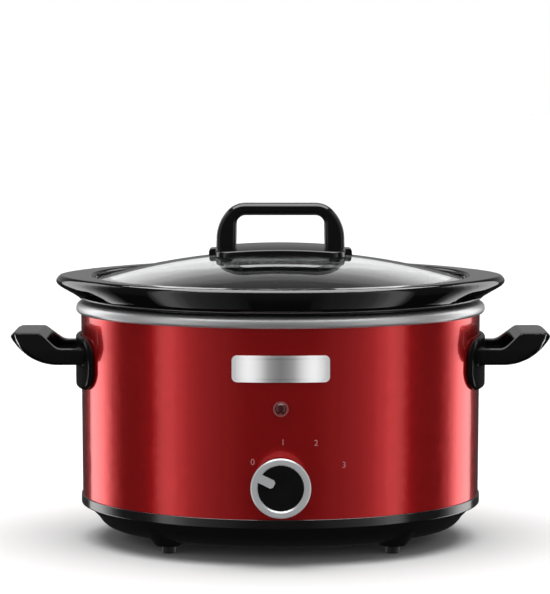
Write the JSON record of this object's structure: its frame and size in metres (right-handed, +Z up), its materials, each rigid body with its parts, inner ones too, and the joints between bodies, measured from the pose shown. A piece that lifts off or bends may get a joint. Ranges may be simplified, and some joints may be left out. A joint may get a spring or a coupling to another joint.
{
  "type": "slow cooker",
  "caption": "Oval slow cooker: red heated base with side handles and a rotary heat knob, a lift-out black stoneware crock with ears, and a domed glass lid with an arched handle.",
  "frame": {"origin": "on the surface that the four feet stand on, under the middle of the object's box, which is within 1 mm of the middle of the oval body", "axes": "+Z up, +X along the oval's long axis towards the right-hand handle as seen from the front, -Y towards the front, where the knob is"},
  "size_m": [0.3828, 0.2525, 0.2405],
  "materials": {
    "red_enamel": "gloss metallic red",
    "liner_aluminium": "satin",
    "black_glaze": "gloss glaze",
    "lid_glass": "clear, polished",
    "base_plastic": "fine satin texture",
    "handle_plastic": "gloss black",
    "badge_silver": "brushed satin",
    "knob_silver": "satin chrome",
    "knob_black": "gloss black",
    "lens_clear": "translucent pale red",
    "neon_glass": "clear",
    "steel_hardware": "zinc plated",
    "brass_contacts": "plain",
    "switch_plastic": "moulded",
    "terminal_plastic": "moulded natural",
    "belt_insulation": "woven glass fibre belt, silicone bonded",
    "fuse_sleeve": "glass-fibre sleeve",
    "foot_rubber": "matte",
    "gland_rubber": "moulded nylon",
    "seal_silicone": "silicone",
    "wire_brown": "insulated lead",
    "wire_blue": "insulated lead",
    "wire_white": "insulated lead"
  },
  "bodies": {
    "base": {"outer_wall": "red_enamel", "heater_liner": "liner_aluminium", "heating_belt": "belt_insulation", "belt_straps": "steel_hardware", "strap_screws": "steel_hardware", "thermal_fuse": "fuse_sleeve", "fuse_clip": "steel_hardware", "base_shell": "base_plastic", "foot_front_left": "foot_rubber", "foot_front_right": "foot_rubber", "foot_rear_left": "foot_rubber", "foot_rear_right": "foot_rubber", "centre_stud": "steel_hardware", "centre_washer": "steel_hardware", "centre_nut": "steel_hardware", "handle_left": "handle_plastic", "handle_right": "handle_plastic", "handle_screws": "steel_hardware", "handle_washers": "steel_hardware", "badge_plate": "badge_silver", "badge_clips": "steel_hardware", "lamp_bezel": "knob_silver", "lamp_lens": "lens_clear", "lamp_clip": "steel_hardware", "neon_lamp": "neon_glass", "switch_body": "switch_plastic", "switch_cover": "switch_plastic", "switch_terminals": "brass_contacts", "contact_leaves": "brass_contacts", "switch_nut": "steel_hardware", "cord_gland": "gland_rubber", "cord_clamp": "switch_plastic", "cord_clamp_screws": "steel_hardware", "terminal_block": "terminal_plastic", "terminal_screws": "brass_contacts", "wire_live": "wire_brown", "wire_fuse": "wire_brown", "wire_neutral": "wire_blue", "wire_low": "wire_white", "wire_high": "wire_brown", "wire_lamp": "wire_white"},
    "knob": {"knob_ring": "knob_silver", "knob_insert": "knob_black", "knob_body": "knob_black", "switch_shaft": "switch_plastic", "switch_cam": "switch_plastic"},
    "crock": {"crock": "black_glaze"},
    "lid": {"lid_glass": "lid_glass", "lid_handle_base": "handle_plastic", "lid_handle_grip": "handle_plastic", "lid_gaskets": "seal_silicone", "lid_washers": "steel_hardware", "lid_screws": "steel_hardware"}
  },
  "joints": [
    {"name": "crock_lift", "type": "slide", "parent": "base", "child": "crock", "axis": [0, 0, 1], "range_m": [0, 0.14]},
    {"name": "lid_lift", "type": "slide", "parent": "crock", "child": "lid", "axis": [0, 0, 1], "range_m": [0, 0.1]},
    {"name": "knob_turn", "type": "hinge", "parent": "base", "child": "knob", "pos_m": [0, -0.112, 0.0571], "axis": [0, 1, 0], "range_deg": [0, 135]}
  ]
}
